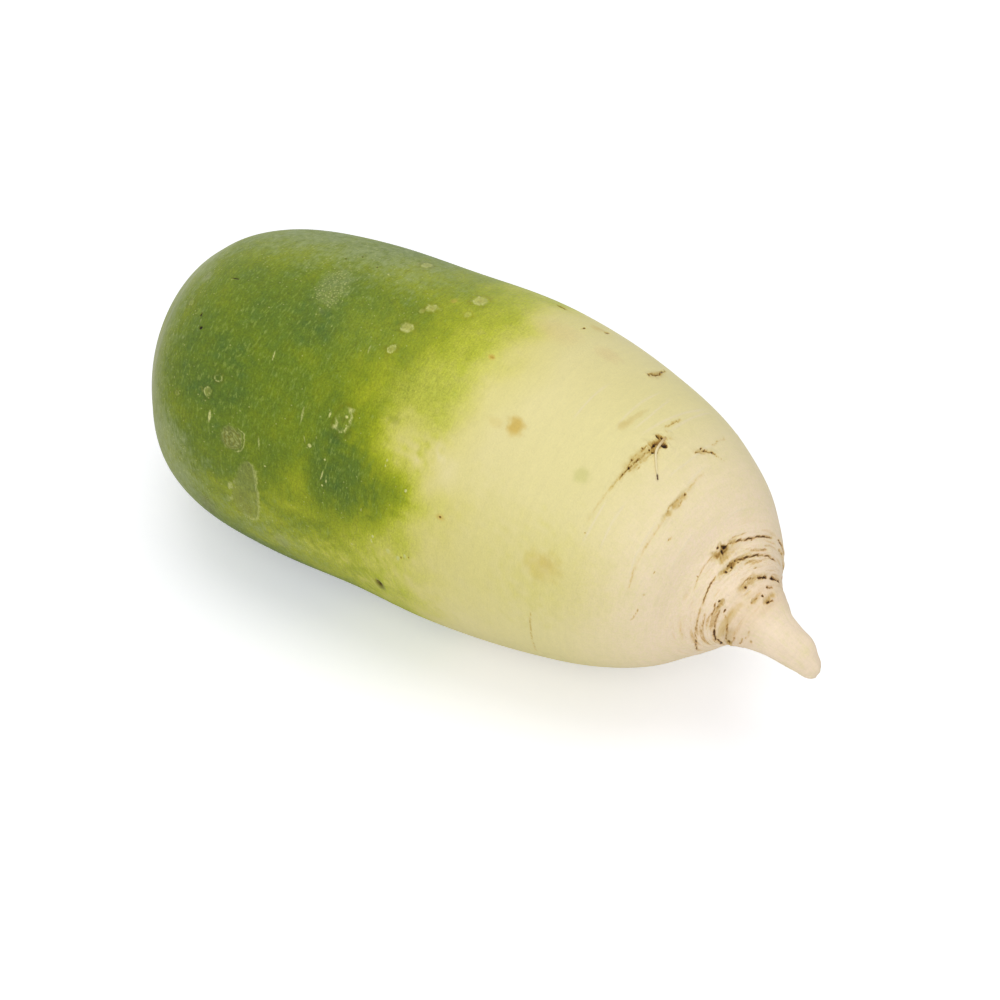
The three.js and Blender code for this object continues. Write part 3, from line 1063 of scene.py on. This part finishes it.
def over_skin(root, along, turn, height):
    """A point in millimetres over the skin at a place on the root."""
    ring = root.ring_at(along)
    centre = root.point(np.full(SIDES, ring), np.arange(SIDES) * 360 / SIDES).mean(0)
    foot = root.point(np.array([ring]), np.array([turn]))[0]
    outward = (foot - centre) / np.linalg.norm(foot - centre)
    return Vector(foot + outward * height)


def smooth_line(points, steps=6):
    """Points on a smooth line through the given ones."""
    points = [2 * points[0] - points[1], *points, 2 * points[-1] - points[-2]]
    line = []
    for before, start, end, after in zip(points, points[1:], points[2:], points[3:]):
        for step in range(steps):
            t = step / steps
            line.append(
                start + (end - before) * (t / 2)
                + (2 * before - 5 * start + 4 * end - after) * (t * t / 2)
                + (3 * start - before - 3 * end + after) * (t**3 / 2)
            )
    return [*line, points[-2]]


def add_tube(mesh, line, thickness):
    """A tapering tube along a line, closed at both ends."""
    tip = mesh.verts.layers.float["tip"]
    loops = []
    for number, point in enumerate(line):
        share = number / (len(line) - 1)
        ahead = (line[min(number + 1, len(line) - 1)] - line[max(number - 1, 0)]).normalized()
        across = ahead.orthogonal().normalized() if number == 0 else across
        across = (across - ahead * across.dot(ahead)).normalized()
        radius = thickness * (1 - 0.6 * share)
        loop = []
        for side in range(ROOTLET_SIDES):
            arm = Matrix.Rotation(2 * math.pi * side / ROOTLET_SIDES, 3, ahead) @ across
            vertex = mesh.verts.new((point + arm * radius) * MM)
            vertex[tip] = share
            loop.append(vertex)
        loops.append(loop)
    for loop, after in zip(loops, loops[1:]):
        for side in range(ROOTLET_SIDES):
            beside = (side + 1) % ROOTLET_SIDES
            mesh.faces.new((loop[side], loop[beside], after[beside], after[side]))
    mesh.faces.new(reversed(loops[0]))
    mesh.faces.new(loops[-1])


def rootlets(root):
    mesh = bmesh.new()
    mesh.verts.layers.float.new("tip")
    for thickness, places in ROOTLETS:
        add_tube(mesh, smooth_line([over_skin(root, *place) for place in places]), thickness)
    bmesh.ops.recalc_face_normals(mesh, faces=mesh.faces)
    data = bpy.data.meshes.new("rootlets")
    mesh.to_mesh(data)
    mesh.free()
    data.polygons.foreach_set("use_smooth", [True] * len(data.polygons))
    data.materials.append(rootlet_material())
    return shown(data)


def rootlet_material():
    nodes = Nodes(bpy.data.materials.new("rootlet"))
    spots = nodes.add("TexCoord", {}).outputs["Object"]
    mottle = nodes.add("TexNoise", {"Vector": spots, "Scale": 1.2 / MM})
    share = nodes.sum(nodes.attribute("tip"), (nodes.maths("SUBTRACT", mottle, 0.5), 0.25))
    colour = nodes.ramp(share, [
        (0.05, srgb(206, 176, 120)),
        (0.4, srgb(238, 222, 176)),
        (0.88, srgb(236, 222, 174)),
        (0.95, srgb(92, 66, 38)),
    ])
    bump = nodes.add("Bump", {"Strength": 0.4, "Distance": 0.1 * MM, "Height": mottle})
    shader = nodes.add("BsdfPrincipled", {"Base Color": colour, "Roughness": 0.55, "Normal": bump})
    return nodes.finish(shader)


# --- Floor, light and camera ---

FLOOR_SIDE = 8 * LENGTH * MM
FLOOR_GLOW, FAR_GLOW = 0.33, 0.83  # what brightens the seen floor, near the root and far from it
GLOW_TINT = (0.86, 0.88, 1, 1)
CAMERA_TURN, CAMERA_RISE, CAMERA_ROLL = 29.26, 43.292, 1.388  # degrees
CAMERA_DISTANCE = 760 * MM
CAMERA_LENS = 103.63  # on Blender's 36 mm sensor
CAMERA_AIM = (0.7 * MM, -10.6 * MM)  # right of the box's middle and above it, as the camera sees it
SKY_STRENGTH = 0.48
# Soft lamps: how high each stands on the camera's side in degrees, and its power in watts.
LAMPS = {"overhead": (96, 4.7), "front": (36, 4.6)}
LAMP_DISTANCE = 6 * LENGTH * MM
LAMP_SIZE = 5 * LENGTH * MM


def shown(data):
    """A new object in the scene with this mesh, lamp or camera."""
    thing = bpy.data.objects.new(data.name, data)
    bpy.context.scene.collection.objects.link(thing)
    return thing


def direction(turn, rise):
    """The way out from the root at a turn to the right of -Y and a rise, both in degrees."""
    turn, rise = math.radians(turn), math.radians(rise)
    return Vector((math.sin(turn) * math.cos(rise), -math.cos(turn) * math.cos(rise), math.sin(rise)))


def floor():
    """A plain floor just below the root."""
    half = FLOOR_SIDE / 2
    mesh = bpy.data.meshes.new("floor")
    corners = [(-half, -half), (half, -half), (half, half), (-half, half)]
    mesh.from_pydata([(x, y, -0.05 * MM) for x, y in corners], [], [(0, 1, 2, 3)])
    mesh.materials.append(floor_material())
    shown(mesh)


def floor_material():
    """Plain white. The camera sees it brightened to white, most of all far from the root."""
    nodes = Nodes(bpy.data.materials.new("floor"))
    plain = nodes.add("BsdfDiffuse", {"Color": srgb(238, 238, 238)})
    seen = nodes.add("BsdfDiffuse", {"Color": (1, 1, 1, 1)})
    place = nodes.add("TexCoord", {}).outputs["Object"]
    distance = nodes.add("VectorMath", {0: place}, operation="LENGTH").outputs["Value"]
    far = nodes.step(distance, LENGTH * MM, 2.5 * LENGTH * MM)
    strength = nodes.sum(FLOOR_GLOW, (far, FAR_GLOW - FLOOR_GLOW))
    glow = nodes.add("Emission", {"Color": GLOW_TINT, "Strength": strength})
    bright = nodes.add("AddShader", {0: seen, 1: glow})
    camera_ray = nodes.add("LightPath", {}).outputs["Is Camera Ray"]
    return nodes.finish(nodes.add("MixShader", {0: camera_ray, 1: plain, 2: bright}))


def sky():
    """A white sky, which lights the object about half as brightly as it looks."""
    nodes = Nodes(bpy.data.worlds.new("sky"))
    path = nodes.add("LightPath", {}).outputs
    seen = nodes.maths("MAXIMUM", path["Is Camera Ray"], path["Is Glossy Ray"])
    strength = nodes.sum(SKY_STRENGTH, (seen, 1 - SKY_STRENGTH))
    background = nodes.add("Background", {"Color": (1, 1, 1, 1), "Strength": strength})
    bpy.context.scene.world = nodes.finish(background, "OutputWorld")


def lamp(name, rise, power):
    light = bpy.data.lights.new(name, "AREA")
    light.shape = "DISK"
    light.size = LAMP_SIZE
    light.energy = power
    thing = shown(light)
    towards = direction(CAMERA_TURN, rise)
    thing.location = towards * LAMP_DISTANCE
    thing.rotation_euler = towards.to_track_quat("Z", "Y").to_euler()


def camera():
    back = direction(CAMERA_TURN, CAMERA_RISE)
    right = direction(CAMERA_TURN + 90, 0)
    up = back.cross(right)
    middle = (CAD_BOX[0] + CAD_BOX[1]) / 2
    eye = bpy.data.cameras.new("camera")
    eye.lens = CAMERA_LENS
    eye.clip_start, eye.clip_end = 0.01, 10 * FLOOR_SIDE
    thing = shown(eye)
    level = Matrix((right, up, back)).transposed()
    thing.matrix_world = (level @ Matrix.Rotation(math.radians(CAMERA_ROLL), 3, "Z")).to_4x4()
    thing.location = middle + right * CAMERA_AIM[0] + up * CAMERA_AIM[1] + back * CAMERA_DISTANCE
    bpy.context.scene.camera = thing


# --- Putting it together ---


def all_marks():
    """Each mark with its row, in the order in which they are laid on."""
    tables = {
        seam: SEAMS, stain: STAINS, pore: PORES, fleck: FLECKS, pit: PITS, scar: SCARS, crack: CRACKS,
    }
    for mark, rows in tables.items():
        for row in rows:
            yield mark, row
    yield from unseen_marks()


def marked_skin(root):
    """The skin's mesh with every mark's relief and colour on it."""
    marks = list(all_marks())
    lines = [row[-1] for mark, row in marks if mark in (crack, seam)]
    small = [row[:4] for mark, row in marks if mark not in (crack, seam) and min(row[2:4]) < 3]
    mesh = plain_skin(root)
    refined(mesh, root, [*fine_zones(small), *line_zones(root, lines), *CLOSE_ZONES])
    ring, level, upright = (read(mesh, name) for name in ("ring", "level", "upright"))
    skin = Skin(root, ring, np.degrees(np.arctan2(upright, level)))
    for whole in (green_shoulder, crown, tail, scab, drop_scar, dotted_patch):
        whole(skin)
    for mark, row in marks:
        mark(skin, *row)
    put_in_place(mesh, skin)
    bake_map(mesh, skin)
    for name in ("ring", "level", "upright"):
        mesh.attributes.remove(mesh.attributes[name])
    write(mesh, "straight", "FLOAT_VECTOR", skin.straight)
    write(mesh, "stain", "FLOAT_COLOR", skin.stain)
    for name in SHADES:
        write(mesh, name, "FLOAT", getattr(skin, name))
    mesh.materials.append(skin_material())
    return shown(mesh)


bpy.context.scene.view_settings.view_transform = "Standard"
camera()
floor()
sky()
for lamp_name, (lamp_rise, lamp_power) in LAMPS.items():
    lamp(lamp_name, lamp_rise, lamp_power)

packed_root = Root(*packed_rings(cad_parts["radish"]))
skin_piece = marked_skin(packed_root)
rootlet_piece = rootlets(packed_root)
for piece in (skin_piece, rootlet_piece):
    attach(piece, "root")
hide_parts("radish")
